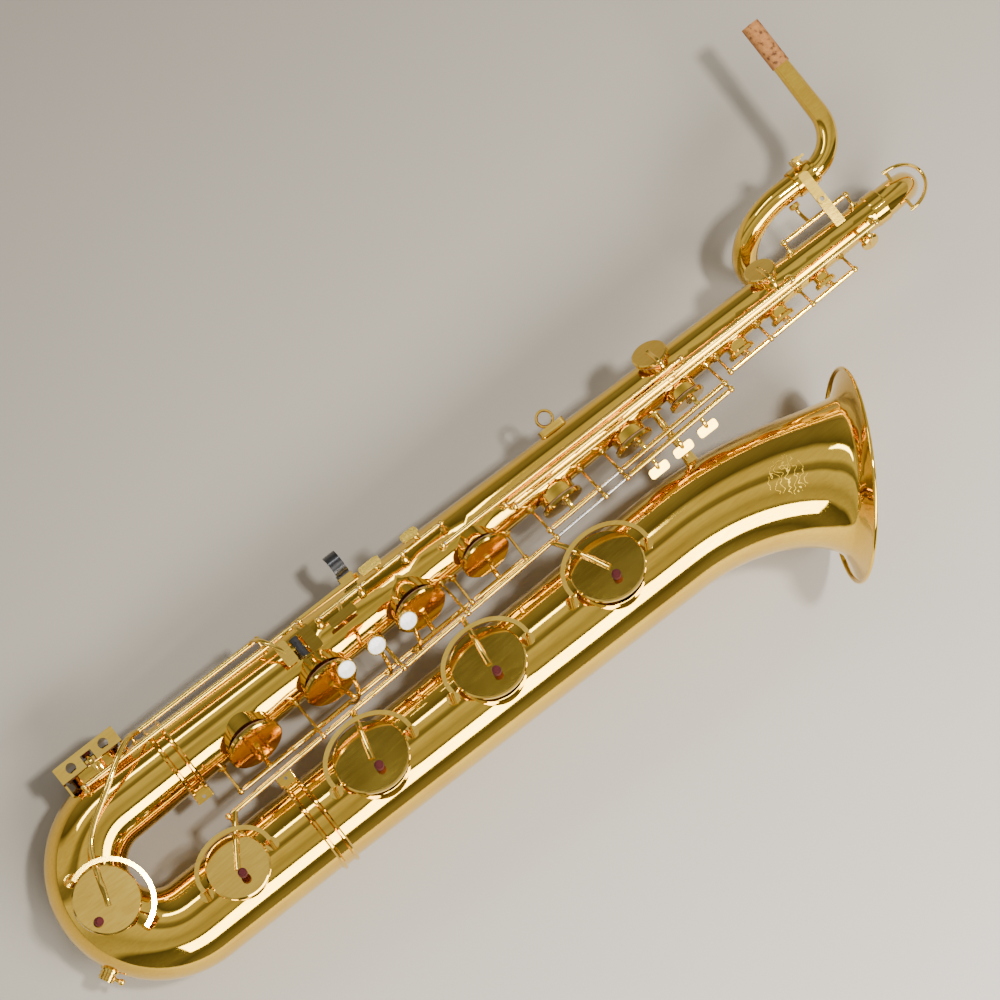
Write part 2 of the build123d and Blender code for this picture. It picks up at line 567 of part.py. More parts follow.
# left-hand stack
for nm, span, rc in (("lh_g", (19.3, 68.7), 20.5), ("lh_a", (100.3, 153.0), 19.5), ("lh_b", (153.6, 213.7), 18.0)):
    simple_key(nm, H3, span, rc, HOLES[nm]["ax"].X, -4.0, 3.7)

# small upper keys
for nm, span, rc in (("upper_1", (232.3, 272.7), 13.5), ("upper_2", (279.3, 321.7), 12.0), ("upper_3", (328.3, 370.7), 10.5)):
    small_key(nm, H5, span, rc, HOLES[nm]["ax"].X, 0, -6.0, a=1.9, b=1.4)

# side keys with long tubes over the upper body
simple_key("side_bb", HB, (-62.7, 196.7), 16.5, 182.0, 0, 8.0)
simple_key("side_c", HD, (1.3, 318.7), 14.5, 306.0, 0, 8.0)
small_key("high_e", HF, (7.3, 410.7), 8.5, 402.0, 0, -8.0, a=1.9, b=1.4)

# touch levers of the side keys, and the table lever
for i, (span, xc, yc, zc, dx) in enumerate((((-186.7, -148.3), -172.0, 8.0, 47.0, 27.0), ((-141.7, -101.3), -127.0, 27.0, 40.5, 21.0),
                                            ((-94.7, -58.3), -84.0, 27.0, 39.5, 17.0))):
    n = unit(Vector(0, 0.2 if i == 0 else 0.45, 1))
    parts = [tube(HS, *span)] + touch(HS, xc + 5, Vector(xc, yc, zc), n, dx, 9.0)
    key("side_touch_%d" % (i + 1), HS, span, parts, 0, 5.0 if i == 0 else -5.0)

tl = [tube(H1, 100.3, 213.7)]
for xc in (124.0, 152.0, 180.0):
    q = H1.at(xc)
    tl += touch(H1, xc, Vector(xc, q.Y - 12.5, q.Z - 4.0), unit(Vector(0, -0.42, 0.9)), 20.0, 9.5)
key("table_lever", H1, (100.3, 213.7), tl, 0, 5.0)


# ---- octave vent key on the pigtail
vent = dict(ax=Vector(371, PIG_Y, 0), n=-Y, rt=R_REC, rc=3.5, d0=R_REC + 1.2)
nip = cut(cyl(vent["ax"], vent["ax"] + vent["n"] * vent["d0"], 2.6), PIG_FILL)
nip = cut(nip, cyl(vent["ax"], vent["ax"] + vent["n"] * 30, 1.2))
NODES["pigtail"] = [fuse(NODES["pigtail"][0], nip)]
v_cup = turned([(0, GAP), (4.2, GAP), (5.0, GAP + 1.4), (5.0, TOPZ - 1.0), (4.0, TOPZ), (0, TOPZ)], rim_plane(vent), vent["n"], X)
v_top = rim_plane(vent) - Y * (TOPZ + 0.6)
v_arm = wire_bar([v_top + Z * 3, v_top - Z * 0.5, Vector(371, 34, 2.0), HO.at(371)], 1.8, 1.3, xd=X)
v_arm = cut(v_arm, cyl(HO.at(345), HO.at(395), TUBE_R), cyl(rim_plane(vent), rim_plane(vent) - Y * TOPZ, 5.0))
key("octave", HO, (344.3, 408.7), [tube(HO, 344.3, 408.7), v_cup, v_arm], 0, -8.0, None)

# ---- key guards with felt bumpers
def guard(h, rcup, toward, open_deg, line, level, arc=(43.0, 35.0), boss=12.0, sweep_deg=100):
    """Flat horseshoe over the cup, a boss with a felt, and three legs down to the tube."""
    n = h["n"]
    t = unit(toward - n * toward.dot(n))
    s = n.cross(t)
    c0 = h["ax"] + n * (h["d0"] + level)
    pl = Plane(origin=c0, x_dir=s, z_dir=n)
    a_, b_ = arc
    ringf = (Ellipse(a_, b_) - Ellipse(a_ - 4.0, b_ - 4.0)) & Pos(0, b_) * Rectangle(3 * a_, 2 * b_ + 6)
    flat = extrude(pl * ringf, amount=2.4).solids()[0]
    bc = c0 + t * boss
    bossd = turned([(4.05, -0.6), (8.6, -0.6), (9.6, 0.4), (9.6, 2.4), (8.4, 3.4), (6.4, 3.4), (5.6, 2.6), (4.05, 2.6)], bc, n, s)
    web = block(c0 + t * ((boss + b_ - 2) / 2 + 3.5) + n * 1.0, t, n, b_ - boss - 9, 6.5, 2.0)
    legs = []
    for ang in (-90, 0, 90):
        e = t * cd(ang) + s * sd(ang)
        reach = (b_ - 2.0) if ang == 0 else (a_ - 2.0)
        top = c0 + e * reach + n * 1.2
        if ang == 0:
            side = h["ax"] + n * (h["rt"] * 0.55) + t * (h["rt"] * 0.80)
            base = h["ax"] + unit(side - h["ax"]) * (h["rt"] - 2)
        else:
            base = h["ax"] + n * (h["rt"] - 2) + e * reach
        mid = top + (base - top) * 0.5 + e * (2.0 if ang == 0 else 0.0)
        legs.append(wire_bar([top, mid, base], 2.6, 1.5, xd=s if ang == 0 else t))
        fd = unit(base - (h["ax"] + (e * reach if ang else Vector(0, 0, 0))))
        legs.append(cyl(base - fd * 1.0, base + fd * 3.0, 6.0))
    g = fuse(flat, bossd, web, *legs)
    g = cut(g, cyl(bc - n * 8, bc + n * 8, 4.05 - 0.05))
    felt_tip = bc - n * FELT_DROP[0]
    felt = fuse(cyl(felt_tip, bc + n * 2.0, 4.0 - 0.05 + 0.05), cyl(bc + n * 2.0, bc + n * 3.2, 2.6))
    return g, felt


FELT_DROP = [2.0]


def cup_top_level(h, rcup, line, open_deg, at):
    """Height above the rim plane of the opened cup's top, at a point offset `at` from the cup's axis."""
    n = h["n"]
    c = rim_plane(h) + at + n * TOPZ
    q = line.at(c.X)
    v = c - q
    k = math.radians(open_deg)
    d = line.d
    moved = v * math.cos(k) + d.cross(v) * math.sin(k) + d * (d.dot(v) * (1 - math.cos(k)))
    return (q + moved - rim_plane(h)).dot(n)


def make_guard(name, rcup, toward, line, open_deg, fill, boss=12.0, arc=(43.0, 35.0), extra_up=0.0):
    h = HOLES[name]
    n = h["n"]
    t = unit(toward - n * toward.dot(n))
    tops = [cup_top_level(h, rcup, line, open_deg, t * k) for k in (boss - 4, boss, boss + 4)]
    edge = cup_top_level(h, rcup, line, open_deg, t * rcup)
    level = max(edge + 1.6, max(tops) + 3.0) + extra_up
    FELT_DROP[0] = level - max(tops) - 0.6
    g, felt = guard(h, rcup, toward, open_deg, line, level, arc, boss)
    add("key_guards", cut(g, *fill))
    add("guard_felts", felt)


bell_fills = [BELL_FILL, BOW_FILL]
make_guard("low_a", 33.5, -Y, H1, -OPEN_LOW, bell_fills)
make_guard("low_bb", 33.5, -Y, H1, -OPEN_LOW, bell_fills)
make_guard("low_b", 33.5, -Y, H1, -OPEN_LOW, bell_fills)
make_guard("low_cs", 28.0, -Y, H1, -7.4, bell_fills, boss=10.0, arc=(37.0, 30.0))
make_guard("low_c", 29.5, unit(Vector(-0.94, -0.34, 0)), HC, -5.0, [BOW_FILL], boss=20.0, arc=(38.0, 37.0))

# low Eb: box-shaped cage with two windows
h = HOLES["low_eb"]
n = h["n"]
t = Vector(0, -n.Z, n.Y) * -1.0
if t.Z < 0:
    t = t * -1.0
fb_off = t * -12.0
lv0 = h["d0"] + cup_top_level(h, 27.0, HE, 6.3, fb_off) + 3.0
lv0 = max(lv0, h["d0"] + cup_top_level(h, 27.0, HE, 6.3, t * -26.0) + 0.8)
cage = block(h["ax"] + n * (lv0 + 1.0) + t * 6.0, X, n, 62, 49, 2.0, 4.0)
side_w = block(h["ax"] + n * (lv0 - 6.0) + t * 29.5, X, n, 62, 2.0, 15.0)
for sx in (-17, 17):
    wc = h["ax"] + X * sx + n * (lv0 - 6.0) + t * 20
    side_w = cut(side_w, cyl(wc, wc + t * 20, 4.6))
side_w = cut(side_w, block(h["ax"] + n * (lv0 - 14.0) + t * 29.5, X, n, 11, 8, 22.0))
cage_legs = [block(h["ax"] + X * (sx * 30.0) + n * ((lv0 + 20) / 2) + t * 6.0, X, n, 2.0, 26, lv0 - 20) for sx in (-1, 1)]
fb = h["ax"] + n * lv0 + fb_off
cage = fuse(cage, side_w, *cage_legs, cyl(fb, fb + n * 4.0, 6.5))
cage = cut(cage, cyl(fb - n * 9, fb + n * 9, 4.0), BOW_FILL, cyl(HE.at(-445), HE.at(-380), BALL_R + 1.0),
           cyl(Vector(-432, 0, 0), HE.at(-432), 5.6))
add("key_guards", cage)
add("guard_felts", cyl(fb - n * 2.0, fb + n * 3.4, 4.0))

# ---- neck, cork and clamp screw
nb = Vector(NECK_X - NECK_BEND, PIG_Y + NECK_BEND, 0)
fr = [(Vector(REC_X + 2, PIG_Y, 0), X, Z, TENON_R)]
neck_fr = [(Vector(REC_X + 18.6, PIG_Y, 0), X, Z, NECK_R0 + 0.6)]
for i in range(7):
    a = 90.0 * i / 6
    neck_fr.append((nb + Vector(NECK_BEND * sd(a), -NECK_BEND * cd(a), 0), Vector(cd(a), sd(a), 0), Z, NECK_R0 + 0.5 - 0.9 * i / 6))
neck_fr.append((Vector(NECK_X, NECK_Y_END - CORK_LEN, 0), Y, Z, NECK_R1 + 0.2))
neck_fr.append((Vector(NECK_X, NECK_Y_END, 0), Y, Z, NECK_R1 - 0.9))
neck_out = loft_circles(neck_fr)
neck = tube_shell(neck_fr)
tenon = cut(cyl(Vector(REC_X + 0.5, PIG_Y, 0), neck_fr[0][0], TENON_R), cyl(Vector(REC_X, PIG_Y, 0), neck_fr[0][0] + X, TENON_R - WALL))
neck_ring = turned([(TENON_R - WALL, 0.3), (NECK_R0 + 2.4, 0.3), (NECK_R0 + 2.4, 3.0), (NECK_R0 + 1.6, 3.8), (NECK_R0 - 0.4, 3.8)],
                   Vector(REC_X + 17.5, PIG_Y, 0), X)
neck_ring = cut(neck_ring, cyl(Vector(REC_X, PIG_Y, 0), Vector(REC_X + 60, PIG_Y, 0), TENON_R - WALL))
add("neck", fuse(neck, tenon, neck_ring))
cork = cyl(Vector(NECK_X, NECK_Y_END - CORK_LEN, 0), Vector(NECK_X, NECK_Y_END, 0), CORK_R)
add("neck_cork", cut(cork, neck_out))
MOVES["neck_turn"] = dict(p=Vector(REC_X + 9, PIG_Y, 0), d=X, lo=-20.0, hi=20.0, stiff=0.0)
scr_c = Vector(REC_X + 12.0, PIG_Y + R_REC + 5.0, 0)
lugs = cut(block(scr_c - Y * 1.5, X, Y, 7, 16, 9, 1.0), cyl(rec0, rec1 + X * 9, R_REC + 1.8))
lugs = cut(lugs, cyl(scr_c - Z * 20, scr_c + Z * 20, 1.55))
NODES["pigtail"] = [fuse(NODES["pigtail"][0], lugs)]
screw = fuse(cyl(scr_c - Z * 9, scr_c + Z * 12, 1.5), cyl(scr_c + Z * (8 + GAP), scr_c + Z * 10.5, 3.0),
             block(scr_c + Z * 14.5, X, Z, 12.0, 2.4, 8.0, 1.0))
add("neck_screw", screw)
MOVES["neck_screw_turn"] = dict(p=scr_c, d=Z, lo=-180.0, hi=180.0, stiff=0.0)


# ---- resting pose on the floor: the bow, the bell rim and the pigtail leg touch it
def supports(n):
    h1 = BOW_C.dot(n) - BEND * math.hypot(n.X, n.Y) - (BODY_R0 + 5.3)
    m = n - RIM_D * n.dot(RIM_D)
    h2 = RIM_C.dot(n) - (RIM_R + RIM_WIRE * 0.6) * m.length - RIM_WIRE
    h3 = min(Vector(x, 0, -TOP_DROP).dot(n) for x in (PIG_X, BODY_X1)) - LEG_R
    return h1, h2, h3


def resting_normal():
    b, c = -0.07, 0.0
    for _ in range(30):
        def err(b_, c_):
            h = supports(unit(Vector(-b_, -c_, 1)))
            return h[0] - h[1], h[0] - h[2]
        e = err(b, c)
        k = 1e-5
        eb, ec = err(b + k, c), err(b, c + k)
        j = [[(eb[i] - e[i]) / k, (ec[i] - e[i]) / k] for i in range(2)]
        det = j[0][0] * j[1][1] - j[0][1] * j[1][0]
        b -= (e[0] * j[1][1] - e[1] * j[0][1]) / det
        c -= (e[1] * j[0][0] - e[0] * j[1][0]) / det
    return unit(Vector(-b, -c, 1))


UP = resting_normal()
XW = unit(X - UP * X.dot(UP))
YW = UP.cross(XW)


def turn(v):
    return Vector(v.dot(XW), v.dot(YW), v.dot(UP))


PLACE = Plane(origin=Vector(0, 0, 0), x_dir=turn(X), z_dir=turn(Z)).location
shapes = {k: Compound(children=[s.moved(PLACE) for s in v]) for k, v in NODES.items() if v}
lo = [min(s.bounding_box(optimal=True).min.__getattribute__("XYZ"[i]) for s in shapes.values()) for i in range(3)]
hi = [max(s.bounding_box(optimal=True).max.__getattribute__("XYZ"[i]) for s in shapes.values()) for i in range(3)]
SHIFT = Vector(-(lo[0] + hi[0]) / 2, -(lo[1] + hi[1]) / 2, -lo[2])
for k, s in shapes.items():
    export_step(Compound(children=[q.moved(Location(SHIFT)) for q in s.solids()]), "parts/%s.step" % k)


def placed(v):
    w = turn(v) + SHIFT
    return [round(w.X, 4), round(w.Y, 4), round(w.Z, 4)]


def way(v):
    w = turn(v)
    return [round(w.X, 6), round(w.Y, 6), round(w.Z, 6)]


facts = dict(
    size=[round(hi[i] - lo[i], 2) for i in range(3)], floor=[round(s, 3) for s in supports(UP)], lowest=round(lo[2], 3),
    up=[UP.X, UP.Y, UP.Z], xw=[XW.X, XW.Y, XW.Z], yw=[YW.X, YW.Y, YW.Z], shift=[SHIFT.X, SHIFT.Y, SHIFT.Z],
    moves={k: dict(p=placed(m["p"]), d=way(m["d"]), lo=m["lo"], hi=m["hi"], stiff=m["stiff"], parent=m.get("parent", "")) for k, m in MOVES.items()},
    cork=dict(p=placed(Vector(NECK_X, NECK_Y_END - CORK_LEN / 2, 0)), end=placed(Vector(NECK_X, NECK_Y_END, 0)), d=way(Y), r=CORK_R, length=CORK_LEN),
    strap=dict(p=placed(ring_c), d=way(Z), r=RING_R),
    solids={k: len(s.solids()) for k, s in shapes.items()},
    bell=[placed(Vector(x, -BELL_OFFSET, 0)) for x in (-250, 90)],
    rim=dict(p=placed(RIM_C), d=way(RIM_D)),
)
print("FACTS " + json.dumps(facts))
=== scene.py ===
import json
import math

import bpy
from mathutils import Matrix, Vector

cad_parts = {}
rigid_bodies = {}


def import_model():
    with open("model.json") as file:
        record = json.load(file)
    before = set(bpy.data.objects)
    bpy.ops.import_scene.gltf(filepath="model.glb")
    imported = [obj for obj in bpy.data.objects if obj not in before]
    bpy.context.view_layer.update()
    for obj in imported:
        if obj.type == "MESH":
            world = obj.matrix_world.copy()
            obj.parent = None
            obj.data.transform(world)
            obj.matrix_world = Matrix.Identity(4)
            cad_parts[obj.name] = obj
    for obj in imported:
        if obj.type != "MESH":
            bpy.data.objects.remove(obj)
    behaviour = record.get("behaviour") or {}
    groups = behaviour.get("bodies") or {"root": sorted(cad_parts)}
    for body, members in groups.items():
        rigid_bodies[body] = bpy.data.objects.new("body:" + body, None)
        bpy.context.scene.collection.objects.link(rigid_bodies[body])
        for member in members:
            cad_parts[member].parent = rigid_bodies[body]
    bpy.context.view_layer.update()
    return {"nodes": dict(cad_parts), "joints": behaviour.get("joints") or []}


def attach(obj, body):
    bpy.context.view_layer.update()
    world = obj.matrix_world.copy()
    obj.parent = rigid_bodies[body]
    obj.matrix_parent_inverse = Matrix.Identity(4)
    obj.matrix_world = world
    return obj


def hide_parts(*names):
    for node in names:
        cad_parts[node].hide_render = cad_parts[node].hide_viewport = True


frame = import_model()
NODES = frame["nodes"]
bpy.ops.object.select_all(action="DESELECT")

# ---- instrument frame in the row frame: body axis along X, bell on the -Y side, +Z up
UP = Vector((0.0730371, -0.0355220, 0.9966964))
XW = Vector((0.9973292, 0.0026014, -0.0729907))
YW = Vector((0.0, 0.9993655, 0.0356171))
SHIFT = Vector((15.6431, 27.3784, 71.1843))
MM = 0.001

# ---- the same driving dimensions as the CAD source, millimetres
BELL_OFFSET, BODY_X0, BODY_X1 = 120.5, -357.0, 428.0
BODY_R0, BODY_R1, WALL = 32.2, 14.5, 1.0
BOW_X, BOW_R_END = -423.5, 41.5
BELL_X0, BELL_X1, BELL_R1 = -293.0, 100.0, 48.5
FLARE_BEND_R, FLARE_DEG, FLARE_END, RIM_R, RIM_WIRE = 280.0, 32.7, 10.4, 93.5, 1.9
TOP_DROP, LEG_R = 86.0, 12.2
PIG_X, PIG_Y, REC_X, R_REC = 366.0, 61.0, 384.0, 11.0
NECK_R0, NECK_R1, NECK_BEND, NECK_X, NECK_Y_END, CORK_LEN = 9.6, 8.0, 38.0, 441.0, 197.0, 45.0
HOLE_UP = 5.0
LOW_TILT, LOW_CHIMNEY_R = -19.0, 30.5
BELL_POWER = 1.1     # how the straight bell widens
SKIN = 0.12     # the smooth skins stay this far inside the CAD ones
X, Y, Z = Vector((1, 0, 0)), Vector((0, 1, 0)), Vector((0, 0, 1))


def sd(a):
    return math.sin(math.radians(a))


def cd(a):
    return math.cos(math.radians(a))


def turn(v):
    return Vector((v.dot(XW), v.dot(YW), v.dot(UP)))


def at(v):
    """A point of the instrument frame, in millimetres, as a point of the row frame in metres."""
    return (turn(Vector(v)) + SHIFT) * MM


def out(a):
    """Radial direction, a degrees from +Z towards the bell side."""
    return Vector((0, -sd(a), cd(a)))


def through(knots, t):
    """Smooth value at t through (t, value) knots."""
    n = len(knots) - 1
    i = max(0, min(n - 1, sum(1 for k in knots[1:-1] if k[0] <= t)))
    (a, va), (b, vb) = knots[i], knots[i + 1]
    before, after = knots[max(i - 1, 0)], knots[min(i + 2, n)]
    ma, mb = (vb - before[1]) / (b - before[0]), (after[1] - va) / (after[0] - a)
    u, h = (t - a) / (b - a), b - a
    return ((2 * u ** 3 - 3 * u ** 2 + 1) * va + (u ** 3 - 2 * u ** 2 + u) * h * ma
            + (3 * u ** 2 - 2 * u ** 3) * vb + (u ** 3 - u ** 2) * h * mb)


# ---- mesh helpers, all by operators
def facing(d, side):
    """Euler rotation of a circle whose normal is d and whose first point is towards side."""
    d = turn(Vector(d)).normalized()
    s = turn(Vector(side))
    s = (s - d * s.dot(d)).normalized()
    return Matrix((s, d.cross(s), d)).transposed().to_euler()


def loft(name, rings, segments=96, caps=False):
    """Skin through circles given as (origin, direction, side, radius), normals outwards. caps closes its ends."""
    bpy.ops.object.select_all(action="DESELECT")
    for i, (o, d, side, r) in enumerate(rings):
        bpy.ops.mesh.primitive_circle_add(vertices=segments, radius=r * MM, location=at(o), rotation=facing(d, side))
        if not i:
            piece = bpy.context.object
            piece.name = piece.data.name = name
            bpy.ops.object.transform_apply()
            bpy.ops.object.mode_set(mode="EDIT")
    bpy.ops.mesh.select_all(action="SELECT")
    bpy.ops.mesh.bridge_edge_loops()
    bpy.ops.object.mode_set(mode="OBJECT")
    face = piece.data.polygons[0]
    hub = min((at(r[0]) for r in rings), key=lambda p: (p - face.center).length)
    turned_in = face.normal.dot(face.center - hub) < 0
    bpy.ops.object.mode_set(mode="EDIT")
    bpy.ops.mesh.select_all(action="SELECT")
    if turned_in:
        bpy.ops.mesh.flip_normals()
    if caps:
        bpy.ops.mesh.select_all(action="DESELECT")
        bpy.ops.mesh.select_non_manifold()
        bpy.ops.mesh.fill_holes(sides=0)
    bpy.ops.mesh.select_all(action="DESELECT")
    bpy.ops.object.mode_set(mode="OBJECT")
    return piece


def modify(piece, kind, **settings):
    bpy.ops.object.select_all(action="DESELECT")
    piece.select_set(True)
    bpy.context.view_layer.objects.active = piece
    m = piece.modifiers.new(kind.title(), kind)
    for k, v in settings.items():
        setattr(m, k, v)
    bpy.ops.object.modifier_apply(modifier=m.name)
    return piece


def drop(piece):
    bpy.data.objects.remove(piece)


def join(first, *more):
    bpy.ops.object.select_all(action="DESELECT")
    for p in (first, *more):
        p.select_set(True)
    bpy.context.view_layer.objects.active = first
    bpy.ops.object.join()
    return first


def finish_piece(piece, body, node=None, angle=35.0):
    bpy.ops.object.select_all(action="DESELECT")
    piece.select_set(True)
    bpy.context.view_layer.objects.active = piece
    bpy.ops.object.transform_apply()
    bpy.ops.object.shade_smooth_by_angle(angle=math.radians(angle))
    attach(piece, body)
    if node:
        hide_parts(node)
    return piece


def lathe(name, profile, origin, axis, side, segments=64):
    """Closed turned shape: (radius, height) points, the last joined to the first."""
    profile = list(profile) + [profile[0]]
    skins = []
    for i, (a, b) in enumerate(zip(profile, profile[1:])):
        rings = [(Vector(origin) + Vector(axis) * h, axis, side, r) for r, h in (a, b)]
        skins.append(loft("%s_%d" % (name, i), rings, segments))
    piece = join(*skins)
    piece.name = piece.data.name = name
    bpy.ops.object.mode_set(mode="EDIT")
    bpy.ops.mesh.select_all(action="SELECT")
    bpy.ops.mesh.remove_doubles(threshold=0.000005)
    bpy.ops.mesh.normals_make_consistent(inside=False)
    bpy.ops.mesh.select_all(action="DESELECT")
    bpy.ops.object.mode_set(mode="OBJECT")
    return piece


# ---- tube skins
def bow_rings():
    c, bend = Vector((BOW_X, -BELL_OFFSET / 2, 0)), BELL_OFFSET / 2
    rings = [(Vector((BODY_X0, 0, 0)), -X, Z, BODY_R0), (Vector(((BODY_X0 + BOW_X) / 2, 0, 0)), -X, Z, BODY_R0 + 0.9)]
    for i in range(57):
        a = 180.0 * i / 56
        r = BODY_R0 + 1.8 + (BOW_R_END - BODY_R0 - 2.6) * i / 56
        rings.append((c + Vector((-bend * sd(a), bend * cd(a), 0)), Vector((-cd(a), -sd(a), 0)), Z, r))
    rings.append((Vector(((BELL_X0 + BOW_X) / 2, -BELL_OFFSET, 0)), X, Z, BOW_R_END - 0.4))
    rings.append((Vector((BELL_X0, -BELL_OFFSET, 0)), X, Z, BOW_R_END))
    return [(o, d, s, r - SKIN) for o, d, s, r in rings]


def bell_rings():
    length = BELL_X1 - BELL_X0
    def arc(a):
        return length + FLARE_BEND_R * math.radians(a)
    knots = [(length * i / 4, BOW_R_END + (BELL_R1 - BOW_R_END) * (i / 4) ** BELL_POWER) for i in range(5)]
    knots += [(arc(a), r) for a, r in ((6, 49.6), (12, 51.4), (17, 53.6), (22, 56.6), (26, 60.0), (29.5, 64.2),
                                       (FLARE_DEG, 70.5))]
    knots += [(arc(FLARE_DEG) + FLARE_END * s, r) for s, r in ((0.36, 75.4), (0.66, 81.6), (0.87, 88.0), (1.0, RIM_R))]
    rings, s = [], 0.0
    last = knots[-1][0]
    while s < last + 1e-6:
        if s <= length:
            o, d = Vector((BELL_X0 + s, -BELL_OFFSET, 0)), X
        else:
            a = min(math.degrees((s - length) / FLARE_BEND_R), FLARE_DEG)
            d = Vector((cd(a), -sd(a), 0))
            o = Vector((BELL_X1 + FLARE_BEND_R * sd(a), -BELL_OFFSET - FLARE_BEND_R * (1 - cd(a)), 0))
            o += d * max(0.0, s - arc(FLARE_DEG))
        rings.append((o, d, Z, through(knots, s) - SKIN))
        if s >= last:
            break
        step = 16.0 if s < length - 20 else 4.0 if s < arc(24) else 1.6 if s < arc(FLARE_DEG) + 2 else 0.7
        s = min(last, s + step)
    return rings


def top_rings():
    c = Vector((BODY_X1, 0, -TOP_DROP / 2))
    return [(c + Vector((TOP_DROP / 2 * sd(a), 0, TOP_DROP / 2 * cd(a))), Vector((cd(a), 0, -sd(a))), Y,
             BODY_R1 + (LEG_R - BODY_R1) * a / 180.0 - SKIN) for a in (180.0 * i / 40 for i in range(41))]


def pig_rings():
    a0, b0 = Vector((PIG_X, 0, -TOP_DROP)), Vector((PIG_X, PIG_Y, 0))
    n, mid, up, rad = (b0 - a0).cross(X).normalized(), (a0 + b0) / 2, (b0 - a0).normalized(), (b0 - a0).length / 2
    rings = [(Vector((BODY_X1, 0, -TOP_DROP)), -X, n, LEG_R),
             (Vector(((BODY_X1 + PIG_X) / 2, 0, -TOP_DROP)), -X, n, LEG_R - 0.1)]
    for i in range(41):
        a = 180.0 * i / 40
        rings.append((mid - up * (rad * cd(a)) - X * (rad * sd(a)), -X * cd(a) + up * sd(a), n,
                      LEG_R - 0.2 + (R_REC - LEG_R + 0.3) * i / 40))
    rings.append((Vector((REC_X, PIG_Y, 0)), X, n, R_REC))
    return [(o, d, s, r - SKIN) for o, d, s, r in rings]


def neck_rings():
    c = Vector((NECK_X - NECK_BEND, PIG_Y + NECK_BEND, 0))
    rings = [(Vector((REC_X + 18.6, PIG_Y, 0)), X, Z, NECK_R0 + 0.6)]
    for i in range(31):
        a = 90.0 * i / 30
        rings.append((c + Vector((NECK_BEND * sd(a), -NECK_BEND * cd(a), 0)), Vector((cd(a), sd(a), 0)), Z,
                      NECK_R0 + 0.5 - 0.9 * i / 30))
    rings.append((Vector((NECK_X, NECK_Y_END - CORK_LEN, 0)), Y, Z, NECK_R1 + 0.2))
    rings.append((Vector((NECK_X, NECK_Y_END, 0)), Y, Z, NECK_R1 - 0.9))
    return [(o, d, s, r - SKIN) for o, d, s, r in rings]


def bored(tube, rings, holes):
    """Tube with its wall, its tone holes bored and a rolled chimney round each."""
    core = loft(tube + "_core", [(o, d, s, r - 0.3) for o, d, s, r in rings], caps=True)
    skin = loft(tube, rings)
    modify(skin, "SOLIDIFY", thickness=WALL * MM, offset=-1.0, use_even_offset=True)
    chimneys = []
    for ax, n, rt, rc in holes:
        ax, n = Vector(ax), Vector(n).normalized()
        side = n.orthogonal()
        ends = [(ax + n * reach, n, side, rc - WALL) for reach in (rt * 0.3, rt + 20)]
        drill = loft("drill", ends, caps=True)
        modify(skin, "BOOLEAN", operation="DIFFERENCE", object=drill, solver="EXACT")
        drop(drill)
        top = rt + HOLE_UP
        chimney = lathe(tube + "_chimney", [(rc, rt * 0.4), (rc, top - 1.0), (rc + 0.35, top - 0.35), (rc, top),
                                            (rc - WALL, top - 0.3), (rc - WALL, rt * 0.4)], ax, n, side)
        modify(chimney, "BOOLEAN", operation="DIFFERENCE", object=core, solver="EXACT")
        chimneys.append(chimney)
    drop(core)
    return join(skin, *chimneys) if chimneys else skin


def r_bell(x):
    """Radius of the bell's straight part."""
    return BOW_R_END + (BELL_R1 - BOW_R_END) * ((x - BELL_X0) / (BELL_X1 - BELL_X0)) ** BELL_POWER


def make_bell():
    rings = bell_rings()
    holes = [((x, -BELL_OFFSET, 0), out(LOW_TILT), r_bell(x), LOW_CHIMNEY_R) for x in (31.0, -100.0, -227.4)]
    bell = bored("bell_skin", rings, holes)
    rim_c, rim_d = rings[-1][0], rings[-1][1]
    bpy.ops.object.select_all(action="DESELECT")
    bpy.ops.mesh.primitive_torus_add(location=at(rim_c), rotation=facing(rim_d, Z), major_segments=192,
                                     minor_segments=20, major_radius=(RIM_R + RIM_WIRE * 0.6) * MM, minor_radius=RIM_WIRE * MM * 0.995)
    wire = bpy.context.object
    bpy.ops.object.transform_apply()
    return finish_piece(join(bell, wire), "instrument", "bell")


def make_bow():
    holes = [((-372.5, -BELL_OFFSET, 0), out(LOW_TILT), BOW_R_END - 0.3, 25.0),
             ((BOW_X - BELL_OFFSET / 2, -BELL_OFFSET / 2, 0), (sd(11), 0, cd(11)), BODY_R0 + 5.3, 26.5),
             ((-414.0, 0, 0), out(-95), BODY_R0 + 1.6, 24.5)]
    return finish_piece(bored("bow_skin", bow_rings(), holes), "instrument", "bow")


def make_top_bow():
    return finish_piece(bored("top_bow_skin", top_rings(), []), "instrument", "top_bow")


def beveled_block(name, c, size, bevel):
    """Rounded block along the instrument axes."""
    bpy.ops.object.select_all(action="DESELECT")
    bpy.ops.mesh.primitive_cube_add(size=1, location=at(c), rotation=facing(Z, X))
    piece = bpy.context.object
    piece.name = name
    piece.scale = Vector(size) * MM
    bpy.ops.object.transform_apply()
    bpy.ops.object.mode_set(mode="EDIT")
    bpy.ops.mesh.select_all(action="SELECT")
    bpy.ops.mesh.bevel(offset=bevel * MM, segments=3, affect="EDGES")
    bpy.ops.mesh.select_all(action="DESELECT")
    bpy.ops.object.mode_set(mode="OBJECT")
    return piece


def make_pigtail():
    pig = bored("pigtail_skin", pig_rings(), [])
    tenon = NECK_R0 - 0.15
    collar = lathe("collar", [(tenon, 3), (R_REC + 0.9, 3), (R_REC + 0.9, 2), (R_REC + 1.9, 1), (R_REC + 1.9, 19.5),
                              (R_REC + 1.2, 20.5), (tenon, 20.5)], (REC_X - 3, PIG_Y, 0), X, Z)
    lug_y = PIG_Y + R_REC + 3.5
    lugs = [beveled_block("lug", (REC_X + 12.0, lug_y, s * 4.9), (7.0, 9.0, 6.0), 0.9) for s in (-1, 1)]
    return finish_piece(join(pig, collar, *lugs), "instrument", "pigtail")


